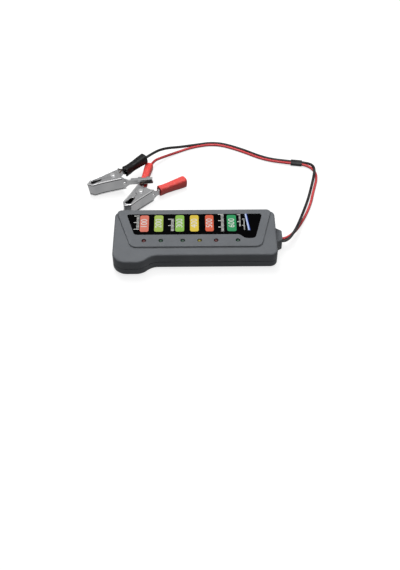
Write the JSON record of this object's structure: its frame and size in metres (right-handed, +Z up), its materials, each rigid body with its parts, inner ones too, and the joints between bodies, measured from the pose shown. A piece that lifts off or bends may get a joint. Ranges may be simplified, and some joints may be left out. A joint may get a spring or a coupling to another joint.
{
  "type": "battery tester",
  "caption": "Flat hand-held battery tester with a row of indicator lamps, a twin lead and sprung crocodile clips whose jaws open on rivets.",
  "frame": {"origin": "centre of the case's footprint, on the surface that it lies on", "axes": "+X towards the cable end, +Y towards the case's straight long edge, +Z up out of the front face"},
  "size_m": [0.1876, 0.1536, 0.0167],
  "materials": {
    "case_grey": "fine spark-eroded grain",
    "label_black": "gloss film",
    "label_silver": "brushed foil",
    "screw_steel": "zinc plated",
    "grommet_black": "matt",
    "board_green": "solder resist",
    "chip_black": "moulded",
    "can_aluminium": "plain",
    "terminal_brass": "tinned",
    "sleeve_black": "shrunk tube",
    "lamp_red": "clear tint",
    "lamp_green": "clear tint",
    "lamp_yellow": "clear tint",
    "wire_red": "soft gloss",
    "wire_black": "soft gloss",
    "clip_steel": "bright nickel plate",
    "spring_steel": "yellow passivated",
    "boot_black": "gloss",
    "boot_red": "gloss"
  },
  "bodies": {
    "tester": {"front_shell": "case_grey", "rear_shell": "case_grey", "front_label": "label_black", "rear_label": "label_silver", "case_screws": "screw_steel", "cable_grommet": "grommet_black", "circuit_board": "board_green", "comparator_chip": "chip_black", "resistors": "chip_black", "reverse_diode": "chip_black", "reference_diode": "chip_black", "filter_capacitor": "can_aluminium", "wire_terminals": "terminal_brass", "red_inner_lead": "wire_red", "black_inner_lead": "wire_black", "cable_sleeve": "sleeve_black", "led_1_red": "lamp_red", "led_2_green": "lamp_green", "led_3_green": "lamp_green", "led_4_yellow": "lamp_yellow", "led_5_red": "lamp_red", "led_6_green": "lamp_green", "red_wire": "wire_red", "black_wire": "wire_black", "black_clip_wired_lever": "clip_steel", "black_clip_rivet": "clip_steel", "black_clip_spring": "spring_steel", "black_clip_wired_boot": "boot_black", "red_clip_wired_lever": "clip_steel", "red_clip_rivet": "clip_steel", "red_clip_spring": "spring_steel", "red_clip_wired_boot": "boot_red"},
    "black_free_jaw": {"black_clip_free_lever": "clip_steel"},
    "red_free_jaw": {"red_clip_free_lever": "clip_steel", "red_clip_free_boot": "boot_red"}
  },
  "joints": [
    {"name": "black_clip_open", "type": "hinge", "parent": "tester", "child": "black_free_jaw", "pos_m": [-0.06687, 0.06896, 0.00935], "axis": [-0.1478, 0.0154, 0.9889], "range_deg": [0, 30], "stiffness_Nm_per_rad": 0.05, "springref_deg": -45.84, "deforming": ["black_clip_spring"]},
    {"name": "red_clip_open", "type": "hinge", "parent": "tester", "child": "red_free_jaw", "pos_m": [-0.04491, 0.05261, 0.0069], "axis": [0.0314, 0.0462, 0.9984], "range_deg": [0, 30], "stiffness_Nm_per_rad": 0.05, "springref_deg": -45.84, "deforming": ["red_clip_spring"]}
  ]
}
